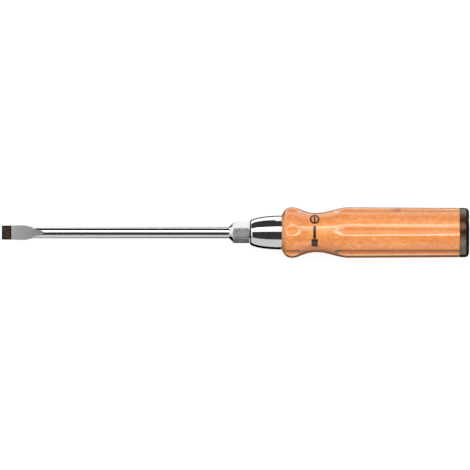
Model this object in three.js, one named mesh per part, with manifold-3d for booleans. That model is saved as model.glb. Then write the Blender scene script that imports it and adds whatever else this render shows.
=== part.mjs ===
// A slotted screwdriver with a fluted wooden handle. Its blade runs right through the handle
// to a leather striking cap, so that it can be driven with a hammer. It lies on its handle.
//
// Millimetres. +X runs along the tool from the tip to the cap and +Z is up. The origin is on
// the surface that the tool lies on, under the middle of its length. The pieces are drawn
// along X about the tool's own axis, with x = 0 at the handle's front shoulder, and the group
// at the end of the file moves them into place.

import * as THREE from "three";
import { mergeVertices } from "three/addons/utils/BufferGeometryUtils.js";
import Module from "manifold-3d";

const wasm = await Module();
wasm.setup();

// ---- Driving dimensions ----

const BLADE = {
  length: 175, // from the tip to the ferrule's front face, a standard length
  shankRadius: 4,
  roll: 6, // degrees that the blade was pressed in turned against the flutes
};

const TIP = {
  width: 9.8,
  thickness: 1.6, // a standard tip, 1.6 x 10
  shoulderWidth: 10.35,
  shoulder: 16.6, // distances from the end of the tip
  slantEnd: 21.8,
  cornerRounding: 1.6,
  facesEnd: 30.2, // where the ground faces run out on the round shank
  faceHollow: 0.12, // how far their middles lie below a straight wedge
  wingStart: 14, // the widened part dies away into the shank inside a cone from here
  wingRadius: 6,
  wingEnd: 24,
};

const HEXAGON = {
  acrossFlats: 13, // takes a 13 mm spanner
  length: 10.8,
  fillet: 1.5, // between the round shank and the 45 degree chamfer
};

const TANG = {
  acrossFlats: 7,
  neckRadius: 3,
  headRadius: 4.1,
  headLength: 1.1,
};

const FERRULE = {
  length: 22.6,
  faceRadius: 7.4,
  edgeRadius: 9.1, // where the rounded front edge meets the bullet-shaped side
  edgeLength: 1.3,
  rearRadius: 11.95,
  wall: 1.2,
  frontPull: { x: 2.8, radius: 1.5 }, // control lengths of the bullet-shaped side
  rearPull: 10.9,
};

const HANDLE = {
  length: 125.5,
  shoulderRadius: 12.4,
  shoulderPull: { x: 1.6, radius: 3.2 }, // pulls are the control lengths of the curves
  bulgeRadius: 17.9,
  bulgeStart: 7,
  bulgeStartPull: 3.8,
  bulgeEnd: 7.8,
  bulgeEndPull: 4.4,
  waistRadius: 13.85,
  waist: 24.6,
  waistFrontPull: 9.1,
  waistRearPull: 7.9,
  gripRadius: 17.85,
  gripStart: 47,
  gripPull: 8,
  rearRadius: 17.45,
  rearRounding: 0.6,
};

const FLUTES = {
  count: 6,
  cutterRadius: 5.5,
  floorRadius: 16.45, // from the tool's axis to the bottom of a flute
};

const PLATE = { radius: 12, thickness: 2.8 };

const CAP = { radius: 17.5, thickness: 6.5, rounding: 2.8 };

const NAIL = {
  count: 3,
  circleRadius: 14.2,
  shankRadius: 0.75,
  headRadius: 1.7,
  headThickness: 0.7,
  sunkBy: 0.15,
  length: 17,
  pointLength: 2,
};

const GAP = 0.3; // clearance drawn between pieces that fit inside one another
const FACE_GAP = 0.1; // between flat faces that meet
const OVERRUN = 2; // how far a cutting solid runs past what it cuts
const ROUND = 48; // facets round a large turned piece
const SMALL_ROUND = 16;
const CURVE_STEPS = 10;

// ---- Positions along the tool's axis ----

const FERRULE_FRONT = -FERRULE.length;
const FERRULE_FLOOR = FERRULE_FRONT + FERRULE.wall;
const TIP_END = FERRULE_FRONT - BLADE.length;
const HEXAGON_BACK = FERRULE_FRONT - GAP;
const HEXAGON_FRONT = HEXAGON_BACK - HEXAGON.length;
const PLATE_BACK = HANDLE.length - FACE_GAP;
const PLATE_FRONT = PLATE_BACK - PLATE.thickness;
const TANG_SHOULDER = PLATE_FRONT - GAP;
const CAP_FRONT = HANDLE.length + FACE_GAP;
const CAP_BACK = CAP_FRONT + CAP.thickness;
const NAIL_BACK = CAP_BACK - NAIL.sunkBy;

// ---- Geometry helpers ----

// A solid turned about X from points whose x runs along the axis and whose y is the radius.
function turned(points, segments = ROUND) {
  const profile = points.map((point) => new THREE.Vector2(point.y, point.x));
  return new THREE.LatheGeometry(profile, segments).rotateZ(-Math.PI / 2);
}

// Points from [x, radius] pairs.
function at(...pairs) {
  return pairs.map(([x, radius]) => new THREE.Vector2(x, radius));
}

function curve(start, control1, control2, end) {
  const points = at(start, control1, control2, end);
  return new THREE.CubicBezierCurve(...points).getPoints(CURVE_STEPS);
}

// An arc between two angles, counted from +X and turning outwards from the axis.
function rounding(centreX, centreRadius, radius, fromDegrees, toDegrees) {
  const from = THREE.MathUtils.degToRad(fromDegrees);
  const to = THREE.MathUtils.degToRad(toDegrees);
  const arc = new THREE.EllipseCurve(
    centreX, centreRadius, radius, radius, from, to, to < from,
  );
  return arc.getPoints(4);
}

function roundBar(radius, from, to, segments = ROUND) {
  return turned(at([from, 0], [from, radius], [to, radius], [to, 0]), segments);
}

function cornerRadius(acrossFlats) {
  return acrossFlats / Math.sqrt(3);
}

// A hexagonal bar along X with two of its flats level.
function hexagonalBar(acrossFlats, from, to) {
  const corner = cornerRadius(acrossFlats);
  return roundBar(corner, from, to, 6).rotateX(Math.PI / 2);
}

function extruded(shape, depth) {
  return new THREE.ExtrudeGeometry(shape, {
    depth,
    curveSegments: CURVE_STEPS,
    bevelEnabled: false,
  });
}

// Copies of a geometry turned about X, the first at the given angle from straight up.
function around(count, firstDegrees, geometry) {
  const copies = [];
  for (let i = 0; i < count; i++) {
    const degrees = firstDegrees + (360 / count) * i;
    copies.push(geometry.clone().rotateX(THREE.MathUtils.degToRad(degrees)));
  }
  return copies;
}

function solid(geometry) {
  const bare = geometry.clone();
  bare.deleteAttribute("normal");
  bare.deleteAttribute("uv");
  const merged = mergeVertices(bare, 1e-4);
  const mesh = new wasm.Mesh({
    numProp: 3,
    vertProperties: new Float32Array(merged.getAttribute("position").array),
    triVerts: new Uint32Array(triangles(merged)),
  });
  return new wasm.Manifold(mesh);
}

// The triangles of a merged geometry, without those that merging has flattened to a line.
function triangles(geometry) {
  const corners = geometry.index.array;
  const kept = [];
  for (let i = 0; i < corners.length; i += 3) {
    const [a, b, c] = corners.slice(i, i + 3);
    if (a !== b && b !== c && c !== a) kept.push(a, b, c);
  }
  return kept;
}

function cutFrom(body, cutters) {
  return cutters.reduce((left, cutter) => left.subtract(solid(cutter)), body);
}

function piece(name, body, material) {
  const mesh = body.getMesh();
  const geometry = new THREE.BufferGeometry();
  const positions = new THREE.BufferAttribute(mesh.vertProperties, mesh.numProp);
  geometry.setAttribute("position", positions);
  geometry.setIndex(new THREE.BufferAttribute(mesh.triVerts, 1));
  geometry.computeVertexNormals();
  const result = new THREE.Mesh(geometry, material);
  result.name = name;
  return result;
}

// ---- Materials ----

function metal(color, roughness) {
  return new THREE.MeshStandardMaterial({ color, roughness, metalness: 1 });
}

function natural(color, roughness) {
  return new THREE.MeshStandardMaterial({ color, roughness, metalness: 0 });
}

const chrome = metal(0xd8d9db, 0.1);
const steel = metal(0x9c9c9e, 0.45);
const brass = metal(0xb08d4a, 0.35);
const varnishedWood = natural(0xf5a365, 0.4);
const leather = natural(0x6b4e3f, 0.65);

// ---- Blade: tip, shank, hexagon and tang in one forging ----

// One edge of the tip seen from above, from its end to the shank. Side is 1 or -1.
function tipEdge(side) {
  const half = (side * TIP.shoulderWidth) / 2;
  const shank = side * (BLADE.shankRadius - 0.05);
  const round = TIP.cornerRounding;
  const shoulder = TIP_END + TIP.shoulder;
  const slantEnd = TIP_END + TIP.slantEnd;
  const slope = (shank - half) / (slantEnd - shoulder);
  const path = new THREE.Path();
  path.moveTo(TIP_END, (side * TIP.width) / 2);
  path.lineTo(shoulder - round, half);
  path.quadraticCurveTo(shoulder, half, shoulder + round, half + slope * round);
  path.lineTo(slantEnd - round, shank - slope * round);
  path.quadraticCurveTo(slantEnd, shank, slantEnd + round, shank);
  path.lineTo(TIP_END + TIP.wingEnd, shank);
  return path.getPoints(4);
}

// One ground face of the tip seen from the side: a long wedge, very slightly hollow.
function tipFace(side) {
  const start = (side * TIP.thickness) / 2;
  const end = side * (BLADE.shankRadius + 0.02);
  const middle = (start + end) / 2 - side * 2 * TIP.faceHollow;
  const points = at(
    [TIP_END, start],
    [TIP_END + TIP.facesEnd / 2, middle],
    [TIP_END + TIP.facesEnd, end],
  );
  return new THREE.QuadraticBezierCurve(...points).getPoints(CURVE_STEPS);
}

function tip(end) {
  const reach = BLADE.shankRadius + 1;
  const depth = 4 * reach;
  const plan = new THREE.Shape([...tipEdge(-1), ...tipEdge(1).reverse()]);
  const facesEnd = TIP_END + TIP.facesEnd;
  const side = new THREE.Shape([
    ...tipFace(-1),
    ...at([facesEnd, -reach], [end, -reach], [end, reach], [facesEnd, reach]),
    ...tipFace(1).reverse(),
  ]);
  const planSolid = extruded(plan, depth).translate(0, 0, -depth / 2);
  const sideSolid = extruded(side, depth).rotateX(Math.PI / 2).translate(0, depth / 2, 0);
  const cone = turned(
    at(
      [TIP_END - OVERRUN, 0],
      [TIP_END - OVERRUN, TIP.wingRadius],
      [TIP_END + TIP.wingStart, TIP.wingRadius],
      [TIP_END + TIP.wingEnd, BLADE.shankRadius],
      [TIP_END + TIP.wingEnd, 0],
    ),
  );
  const shank = roundBar(BLADE.shankRadius, TIP_END + TIP.shoulder, end);
  const forged = solid(planSolid).intersect(solid(cone)).add(solid(shank));
  return forged.intersect(solid(sideSolid));
}

// The hexagon, chamfered at 45 degrees down to the shank, with a fillet between the two.
function hexagon() {
  const corner = cornerRadius(HEXAGON.acrossFlats);
  const chamferStart = HEXAGON_FRONT - (corner - BLADE.shankRadius);
  const turnIn = HEXAGON.fillet * Math.tan(Math.PI / 8);
  const filletX = chamferStart - turnIn;
  const start = filletX - OVERRUN;
  const lathed = turned([
    ...at([start, 0], [start, BLADE.shankRadius]),
    ...rounding(filletX, BLADE.shankRadius + HEXAGON.fillet, HEXAGON.fillet, -90, -45),
    ...at([HEXAGON_FRONT, corner], [HEXAGON_BACK, corner], [HEXAGON_BACK, 0]),
  ]);
  const bar = hexagonalBar(HEXAGON.acrossFlats, start - OVERRUN, HEXAGON_BACK + OVERRUN);
  return solid(lathed).intersect(solid(bar));
}

// The tang's end is drawn down to a neck and riveted over in the striking plate.
function tang() {
  const headStart = PLATE_BACK - TANG.headLength;
  const bar = hexagonalBar(TANG.acrossFlats, HEXAGON_BACK - OVERRUN, TANG_SHOULDER);
  const rivet = turned(
    at(
      [TANG_SHOULDER - OVERRUN, 0],
      [TANG_SHOULDER - OVERRUN, TANG.neckRadius],
      [headStart, TANG.neckRadius],
      [PLATE_BACK, TANG.headRadius],
      [PLATE_BACK, 0],
    ),
    SMALL_ROUND,
  );
  return solid(bar).add(solid(rivet));
}

function blade() {
  const shankStart = TIP_END + TIP.facesEnd + 2 * OVERRUN;
  const shank = roundBar(BLADE.shankRadius, shankStart - OVERRUN, HEXAGON_FRONT);
  const forging = tip(shankStart).add(solid(shank)).add(hexagon()).add(tang());
  const result = piece("blade", forging, chrome);
  result.rotation.x = THREE.MathUtils.degToRad(BLADE.roll);
  return result;
}

// ---- Ferrule: a drawn steel cup over the handle's nose ----

// The bullet-shaped side, from front to back, drawn in by an inset.
function bulletSide(inset) {
  const front = FERRULE_FRONT + FERRULE.edgeLength;
  const { frontPull, rearPull } = FERRULE;
  return curve(
    [front, FERRULE.edgeRadius - inset],
    [front + frontPull.x, FERRULE.edgeRadius + frontPull.radius - inset],
    [-FACE_GAP - rearPull, FERRULE.rearRadius - inset],
    [-FACE_GAP, FERRULE.rearRadius - inset],
  );
}

function ferrule() {
  const hole = cornerRadius(TANG.acrossFlats) + GAP;
  const edge = new THREE.QuadraticBezierCurve(
    ...at(
      [FERRULE_FRONT, FERRULE.faceRadius],
      [FERRULE_FRONT, FERRULE.faceRadius + 1],
      [FERRULE_FRONT + FERRULE.edgeLength, FERRULE.edgeRadius],
    ),
  );
  const inside = bulletSide(FERRULE.wall).filter((point) => point.x > FERRULE_FLOOR);
  const start = new THREE.Vector2(FERRULE_FRONT, hole);
  const outline = [
    start,
    ...edge.getPoints(4),
    ...bulletSide(0).slice(1),
    ...inside.reverse(),
    ...at([FERRULE_FLOOR, FERRULE.faceRadius], [FERRULE_FLOOR, hole]),
    start.clone(),
  ];
  return piece("ferrule", solid(turned(outline)), chrome);
}

// ---- Handle: turned wood with milled flutes and a bore for the tang ----

function handleOutline() {
  const noseInset = FERRULE.wall + GAP;
  const noseFront = FERRULE_FLOOR + GAP;
  const nose = bulletSide(noseInset).filter((point) => point.x > noseFront);
  const noseFrontRadius = FERRULE.faceRadius - GAP;
  const rear = HANDLE.length - HANDLE.rearRounding;
  return [
    ...at([noseFront, 0], [noseFront, noseFrontRadius]),
    ...nose,
    ...at([0, FERRULE.rearRadius - noseInset]),
    ...curve(
      [0, HANDLE.shoulderRadius],
      [HANDLE.shoulderPull.x, HANDLE.shoulderRadius + HANDLE.shoulderPull.radius],
      [HANDLE.bulgeStart - HANDLE.bulgeStartPull, HANDLE.bulgeRadius],
      [HANDLE.bulgeStart, HANDLE.bulgeRadius],
    ),
    ...curve(
      [HANDLE.bulgeEnd, HANDLE.bulgeRadius],
      [HANDLE.bulgeEnd + HANDLE.bulgeEndPull, HANDLE.bulgeRadius],
      [HANDLE.waist - HANDLE.waistFrontPull, HANDLE.waistRadius],
      [HANDLE.waist, HANDLE.waistRadius],
    ),
    ...curve(
      [HANDLE.waist, HANDLE.waistRadius],
      [HANDLE.waist + HANDLE.waistRearPull, HANDLE.waistRadius],
      [HANDLE.gripStart - HANDLE.gripPull, HANDLE.gripRadius],
      [HANDLE.gripStart, HANDLE.gripRadius],
    ).slice(1),
    ...rounding(rear, HANDLE.rearRadius - HANDLE.rearRounding, HANDLE.rearRounding, 90, 0),
    ...at([HANDLE.length, 0]),
  ];
}

function handle() {
  const from = FERRULE_FRONT;
  const to = HANDLE.length + OVERRUN;
  const cutter = roundBar(FLUTES.cutterRadius, 0, to, 32);
  cutter.translate(0, 0, FLUTES.floorRadius + FLUTES.cutterRadius);
  const bore = roundBar(cornerRadius(TANG.acrossFlats) + GAP, from, to, SMALL_ROUND);
  const seat = roundBar(PLATE.radius + GAP, PLATE_FRONT - FACE_GAP, to);
  const nailHole = roundBar(
    NAIL.shankRadius + GAP, NAIL_BACK - NAIL.length - GAP, to, SMALL_ROUND,
  );
  const cutters = [
    ...around(FLUTES.count, 0, cutter),
    ...aroundNailCircle(nailHole),
    bore,
    seat,
  ];
  const body = cutFrom(solid(turned(handleOutline())), cutters);
  return piece("handle", body, varnishedWood);
}

// ---- Striking end: steel plate, leather cap and its nails ----

function strikingPlate() {
  const hole = TANG.neckRadius + GAP;
  const countersink = TANG.headRadius + GAP;
  const outline = at(
    [PLATE_FRONT, hole],
    [PLATE_FRONT, PLATE.radius],
    [PLATE_BACK, PLATE.radius],
    [PLATE_BACK, countersink],
    [PLATE_BACK - TANG.headLength, hole],
    [PLATE_FRONT, hole],
  );
  return piece("striking_plate", solid(turned(outline)), steel);
}

// The nails stand behind the ridges between flutes, where the wood is thickest.
function aroundNailCircle(geometry) {
  const onCircle = geometry.clone().translate(0, 0, NAIL.circleRadius);
  return around(NAIL.count, 180 / FLUTES.count, onCircle);
}

function leatherCap() {
  const { radius, rounding: edge } = CAP;
  const disc = turned([
    ...at([CAP_FRONT, 0], [CAP_FRONT, radius]),
    ...rounding(CAP_BACK - edge, radius - edge, edge, 90, 0),
    ...at([CAP_BACK, 0]),
  ]);
  const past = CAP_BACK + OVERRUN;
  const shankHole = roundBar(
    NAIL.shankRadius + GAP, CAP_FRONT - OVERRUN, past, SMALL_ROUND,
  );
  const headFront = NAIL_BACK - NAIL.headThickness - FACE_GAP;
  const headHole = roundBar(NAIL.headRadius + GAP, headFront, past, SMALL_ROUND);
  const cutters = [...aroundNailCircle(shankHole), ...aroundNailCircle(headHole)];
  return piece("leather_cap", cutFrom(solid(disc), cutters), leather);
}

function nails() {
  const point = NAIL_BACK - NAIL.length;
  const headFront = NAIL_BACK - NAIL.headThickness;
  const outline = at(
    [point, 0],
    [point + NAIL.pointLength, NAIL.shankRadius],
    [headFront, NAIL.shankRadius],
    [headFront, NAIL.headRadius],
    [NAIL_BACK, NAIL.headRadius],
    [NAIL_BACK, 0],
  );
  const copies = aroundNailCircle(turned(outline, SMALL_ROUND));
  return copies.map((copy, i) => piece(`cap_nail_${i + 1}`, solid(copy), brass));
}

// ---- The tool, lying with one flute down on the ridges either side of it ----

function heightOfAxis() {
  const cutterCentre = FLUTES.floorRadius + FLUTES.cutterRadius;
  const { bulgeRadius } = HANDLE;
  return (
    (bulgeRadius ** 2 + cutterCentre ** 2 - FLUTES.cutterRadius ** 2) / (2 * cutterCentre)
  );
}

const screwdriver = new THREE.Group();
screwdriver.add(
  blade(),
  ferrule(),
  handle(),
  strikingPlate(),
  leatherCap(),
  ...nails(),
);
screwdriver.position.set(-(TIP_END + CAP_BACK) / 2, 0, heightOfAxis());

export default screwdriver;
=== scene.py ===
"""The looks of a slotted screwdriver with a fluted wooden handle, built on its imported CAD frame.

The tool lies along X with its tip at -X. Each piece is shaped in millimetres about the tool's
own axis, with x = 0 at the handle's front shoulder, and is then moved into the frame.
"""

import math

import bpy
from mathutils import Matrix, Vector, noise


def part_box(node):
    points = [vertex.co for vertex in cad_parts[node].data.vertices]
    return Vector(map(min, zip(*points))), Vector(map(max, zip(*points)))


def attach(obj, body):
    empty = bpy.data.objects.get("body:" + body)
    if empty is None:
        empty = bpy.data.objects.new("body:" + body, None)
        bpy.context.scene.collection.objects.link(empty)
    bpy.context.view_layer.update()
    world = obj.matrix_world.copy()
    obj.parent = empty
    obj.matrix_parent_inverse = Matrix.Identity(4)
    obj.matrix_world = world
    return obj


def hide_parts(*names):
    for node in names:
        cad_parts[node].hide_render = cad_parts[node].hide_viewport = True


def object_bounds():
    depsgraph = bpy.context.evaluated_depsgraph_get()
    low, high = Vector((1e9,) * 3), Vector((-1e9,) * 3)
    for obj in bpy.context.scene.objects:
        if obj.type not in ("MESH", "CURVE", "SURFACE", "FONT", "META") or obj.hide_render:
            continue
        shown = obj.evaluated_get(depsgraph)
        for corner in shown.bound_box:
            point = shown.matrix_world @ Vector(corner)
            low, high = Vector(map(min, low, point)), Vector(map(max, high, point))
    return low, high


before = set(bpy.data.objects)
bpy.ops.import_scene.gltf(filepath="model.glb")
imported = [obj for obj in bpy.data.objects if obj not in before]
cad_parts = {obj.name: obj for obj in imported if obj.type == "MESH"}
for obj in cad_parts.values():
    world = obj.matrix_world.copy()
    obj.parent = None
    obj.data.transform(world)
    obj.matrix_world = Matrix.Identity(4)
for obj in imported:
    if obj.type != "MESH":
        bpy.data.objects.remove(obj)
cad_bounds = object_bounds()

MM = 0.001
FACE_GAP = 0.1  # between faces that rest on each other
GAP = 0.3  # round pieces that sit inside each other

# ---- Places, read from the frame ----

blade_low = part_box("blade")[0]
ferrule_low, ferrule_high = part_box("ferrule")
handle_low, handle_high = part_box("handle")
plate_low, plate_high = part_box("striking_plate")
cap_low, cap_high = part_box("leather_cap")

SHOULDER = ferrule_high.x + FACE_GAP * MM
AXIS_HEIGHT = (cap_low.z + cap_high.z) / 2


def along(x):
    """A frame x, in metres, as millimetres behind the handle's shoulder."""
    return (x - SHOULDER) / MM


TIP_END = along(blade_low.x)
FERRULE_FRONT = along(ferrule_low.x)
NOSE_FRONT = along(handle_low.x)
HANDLE_BACK = along(handle_high.x)
PLATE_FRONT = along(plate_low.x)
PLATE_BACK = along(plate_high.x)
PLATE_RADIUS = (plate_high.z - plate_low.z) / 2 / MM
CAP_FRONT = along(cap_low.x)
CAP_BACK = along(cap_high.x)
CAP_RADIUS = (cap_high.z - cap_low.z) / 2 / MM

# ---- Shapes, in millimetres ----

SHANK_RADIUS = 4
BLADE_ROLL = math.radians(6)
TIP_WIDTH = 9.8
TIP_THICKNESS = 1.6
SHOULDER_WIDTH = 10.35
SHOULDER_AT = 16.6  # this and the next few places are distances from the end of the tip
SLANT_END = 21.8
FACES_END = 30.2
FACE_HOLLOW = 0.12
WING_START = 14
WING_RADIUS = 6
WING_END = 24
RUN_OUT = 0.05  # how far a surface is carried into the one that it dies away in
END_SHRINKS = (0.985, 0.9)  # the worn end of the tip, in width and thickness
TIP_STEP = 0.4  # between the tip's sections
BLACKENED_LENGTH = 6.6
HEXAGON_FLATS = 13
HEXAGON_LENGTH = 10.8
HEXAGON_FILLET = 1.5
HEXAGON_EDGE = 0.3
HEXAGON_BACK = FERRULE_FRONT - GAP
HEXAGON_FRONT = HEXAGON_BACK - HEXAGON_LENGTH
HEXAGON_CORNER = HEXAGON_FLATS / math.sqrt(3)
CONE_START = HEXAGON_FRONT - (HEXAGON_CORNER - SHANK_RADIUS)
FILLET_AT = CONE_START - HEXAGON_FILLET * math.tan(math.pi / 8)
TANG_FLATS = 7
TANG_HOLE = TANG_FLATS / math.sqrt(3) + GAP  # the radius of the hole that clears it
TANG_NECK_RADIUS = 3
TANG_HEAD_RADIUS = 4.1
TANG_HEAD_LENGTH = 1.1

FERRULE_FACE_RADIUS = 7.4
FERRULE_EDGE_RADIUS = 9.1
FERRULE_EDGE_LENGTH = 1.3
FERRULE_REAR_RADIUS = 11.95
FERRULE_WALL = 1.2
FERRULE_FRONT_PULL = (2.8, 1.5)  # these two pulls shape the ferrule's side
FERRULE_REAR_PULL = 10.3

WOOD_SHOULDER_RADIUS = 12.4
BULGE_RADIUS = 17.9
BULGE_START = 7
BULGE_END = 7.8
WAIST_RADIUS = 13.85
WAIST = 24.6
GRIP_RADIUS = 17.85
GRIP_START = 47
GRIP_REAR_RADIUS = 17.45
REAR_ROUNDING = 0.6
FLUTE_COUNT = 6
FLUTE_PITCH = 2 * math.pi / FLUTE_COUNT
FLUTE_CUTTER_RADIUS = 5.5
FLUTE_FLOOR = 16.45
FLUTE_SOFTNESS = 0.75

CAP_ROUNDING = 2.8
CAP_BARREL = 0.08  # how much narrower the cap is at its rounding than at its front
NAIL_COUNT = 3
NAIL_CIRCLE = 14.2
NAIL_HEAD_RADIUS = 1.7
NAIL_SHANK_RADIUS = 0.75
NAIL_DEPTH = 0.42  # how far a nail pulls the leather in

# ---- Marks on the surface, in millimetres, with angles from straight up towards +Y ----

SIGN_AT = 23.1  # the printed sign, this far behind the shoulder
SIGN_HEAD_Y = 8.6
SIGN_HEAD_RADIUS = 3.5
SIGN_RING_WIDTH = 1.3
SIGN_SLOT = (-0.6, 0.6)
SIGN_SHANK = (-1, 1)
SIGN_SHANK_Y = (-5.6, 3.6)
SIGN_BLADE = (-2.3, 2.3)
SIGN_BLADE_Y = (-10.6, -5.6)
SIGN_EDGE = 0.25
BLEMISH_AT = 81.5  # a small brown blemish in the wood, this far behind the shoulder
BLEMISH_ANGLE = math.radians(66)
BLEMISH_SIZE = 3.4
DARK_REFLECTION_ANGLE = math.radians(12)  # a dark patch on the leather, painted as a reflection of dark surroundings
DARK_REFLECTION_SIZE = 12.2
HIGHLIGHT_SPOT_AT = 1.8  # a pale spot in it, a painted highlight, this far behind the cap's front
HIGHLIGHT_SPOT_ANGLE = math.radians(11)
HIGHLIGHT_SPOT_SIZE = 3.4
FERRULE_SHADE_AND_DIRT_LINE = (0.7, 1.1)  # where the dark line behind the ferrule's front face fades out: partly painted shade, partly dirt
BLACKENED_BORDER = (0.7, 1.3)  # and the darkest border of the blackened tip

# ---- Curves ----


def soft_min(a, b, softness):
    """The smaller of two numbers, rounded off where they are nearly equal."""
    share = min(max(0.5 + 0.5 * (b - a) / softness, 0), 1)
    return b + (a - b) * share - softness * share * (1 - share)


def soft_max(a, b, softness):
    return -soft_min(-a, -b, softness)


def bezier(start, control1, control2, end, steps):
    points = []
    for i in range(steps + 1):
        t = i / steps
        weights = ((1 - t) ** 3, 3 * (1 - t) ** 2 * t, 3 * (1 - t) * t * t, t**3)
        ends = (start, control1, control2, end)
        points.append(tuple(sum(w * p[k] for w, p in zip(weights, ends)) for k in (0, 1)))
    return points


def rounding(centre, radius, from_degrees, to_degrees, steps):
    points = []
    for i in range(steps + 1):
        angle = math.radians(from_degrees + (to_degrees - from_degrees) * i / steps)
        point = (centre[0] + radius * math.cos(angle), centre[1] + radius * math.sin(angle))
        points.append(point)
    return points


def straight(start, end, steps):
    points = []
    for i in range(steps + 1):
        t = i / steps
        points.append((start[0] + (end[0] - start[0]) * t, start[1] + (end[1] - start[1]) * t))
    return points


# ---- Meshes ----


def polar(x, radius, angle):
    """A point at an angle from straight up, turning from +Z towards +Y."""
    return Vector((x, radius * math.sin(angle), radius * math.cos(angle)))


def turned_rings(profile, segments):
    angles = [2 * math.pi * i / segments for i in range(segments)]
    return [[polar(x, radius, angle) for angle in angles] for x, radius in profile]


def ring_mesh(name, rings, closed_loop=False):
    """A closed mesh skinned over rings of points. Open ends get a face each."""
    count = len(rings[0])
    points = [point for ring in rings for point in ring]
    faces = []
    pairs = len(rings) if closed_loop else len(rings) - 1
    for r in range(pairs):
        near = r * count
        far = ((r + 1) % len(rings)) * count
        for i in range(count):
            j = (i + 1) % count
            faces.append((near + i, near + j, far + j, far + i))
    if not closed_loop:
        faces.append(tuple(range(count))[::-1])
        faces.append(tuple(range(len(points) - count, len(points))))
    mesh = bpy.data.meshes.new(name)
    mesh.from_pydata(points, [], faces)
    return mesh


def finish_piece(name, mesh, materials, node, sharp_degrees=40, roll=0.0):
    """Moves a mesh from tool millimetres into the frame, makes it a piece under the root body and
    hides the frame's part that it replaces.
    """
    place = Matrix.Translation((SHOULDER, 0, AXIS_HEIGHT))
    mesh.transform(place @ Matrix.Scale(MM, 4) @ Matrix.Rotation(roll, 4, "X"))
    mesh.shade_smooth()
    mesh.set_sharp_from_angle(angle=math.radians(sharp_degrees))
    for material in materials:
        mesh.materials.append(material)
    piece = bpy.data.objects.new(name, mesh)
    bpy.context.scene.collection.objects.link(piece)
    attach(piece, "root")
    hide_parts(node)


# ---- Blade ----


def tip_half_width(s):
    """Half the forged blade's width at a distance s from the end of the tip."""
    wide = SHOULDER_WIDTH / 2
    start = TIP_WIDTH / 2
    flank = start + (wide - start) * s / SHOULDER_AT
    slant = wide - (wide - SHANK_RADIUS) * (s - SHOULDER_AT) / (SLANT_END - SHOULDER_AT)
    return soft_max(soft_min(flank, slant, 0.15), SHANK_RADIUS - RUN_OUT, 0.3)


def tip_half_thickness(s):
    """Half the distance between the two ground faces, a long wedge ground slightly hollow."""
    share = min(s / FACES_END, 1)
    end = TIP_THICKNESS / 2
    past_shank = SHANK_RADIUS + 0.02
    straight_wedge = end + (past_shank - end) * share
    return straight_wedge - 4 * FACE_HOLLOW * share * (1 - share)


def tip_outer_radius(s):
    """The cone that the widened part of the blade dies away in."""
    share = (s - WING_START) / (WING_END - WING_START)
    return max(min(WING_RADIUS + (SHANK_RADIUS - WING_RADIUS) * share, WING_RADIUS), 0)


SIDE_STEPS = 32
FACE_STEPS = 16
RING_COUNT = 2 * (SIDE_STEPS + FACE_STEPS)
SIDE_TURN = math.radians(86)  # how far round each side a section's points are spread


def tip_ring(s):
    """A section of the forged tip, with an edge loop where the ground faces begin."""
    limit = soft_max(tip_outer_radius(s), SHANK_RADIUS, 0.15)

    def body_width(z):
        """Half the forging's width at a height z, before the faces are ground."""
        widened = math.sqrt(max(limit**2 - z * z, 0))
        shank = math.sqrt(max(SHANK_RADIUS**2 - z * z, 0))
        return max(soft_min(tip_half_width(s), widened, 0.25), shank)

    widest = math.sin(SIDE_TURN)
    edge = min(tip_half_thickness(s), limit * widest)
    x = TIP_END + s
    half = []
    for i in range(SIDE_STEPS):
        z = edge * math.sin(SIDE_TURN * (2 * i / SIDE_STEPS - 1)) / widest
        half.append(Vector((x, body_width(z), z)))
    reach = body_width(edge)
    for i in range(FACE_STEPS):
        y = reach * (1 - 2 * i / FACE_STEPS)
        height = math.sqrt(max(limit**2 - y * y, 0))
        half.append(Vector((x, y, min(tip_half_thickness(s), height))))
    return half + [Vector((x, -p.y, -p.z)) for p in half]


def ring_angles(ring):
    return [math.atan2(point.y, point.z) for point in ring]


def hexagon_angles():
    """Angles round a hexagon, close together at its corners, in the order of a tip ring."""
    per_flat = RING_COUNT // 6
    angles = []
    for i in range(RING_COUNT):
        flat, step = divmod(i, per_flat)
        share = math.sin(math.pi / 2 * (2 * step / per_flat - 1))
        angles.append(math.pi - math.radians(60) * flat - math.radians(30) * (share + 1))
    return angles


def hexagon_radius(angle, across_flats):
    corner = across_flats / math.sqrt(3)
    from_flat = (angle + math.pi / 6) % (math.pi / 3) - math.pi / 6
    return soft_min(across_flats / 2 / math.cos(from_flat), corner * 0.99, 0.12)


def nearest_turn(angle, reference):
    """The same angle, less or plus whole turns, so that it lies near a reference."""
    return angle + 2 * math.pi * round((reference - angle) / (2 * math.pi))


def shank_rings(first_angles, last_angles, start, end, steps):
    """Round sections whose points shift smoothly from one spacing to another."""
    rings = []
    for i in range(steps + 1):
        t = i / steps
        x = start + (end - start) * t
        ring = []
        for a, b in zip(first_angles, last_angles):
            ring.append(polar(x, SHANK_RADIUS, a + (nearest_turn(b, a) - a) * t))
        rings.append(ring)
    return rings


def tip_rings():
    """The tip's sections from its end, closer together where the faces end and run out."""
    places = [0.0, 0.15]
    places += [TIP_STEP * i for i in range(1, int(FACES_END / TIP_STEP))]
    places += [FACES_END + step for step in (-0.4, -0.1, 0.1, 0.5, 1.3)]
    rings = [tip_ring(s) for s in places]
    for point in rings[0]:
        point.y *= END_SHRINKS[0]
        point.z *= END_SHRINKS[1]
    return rings


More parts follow.
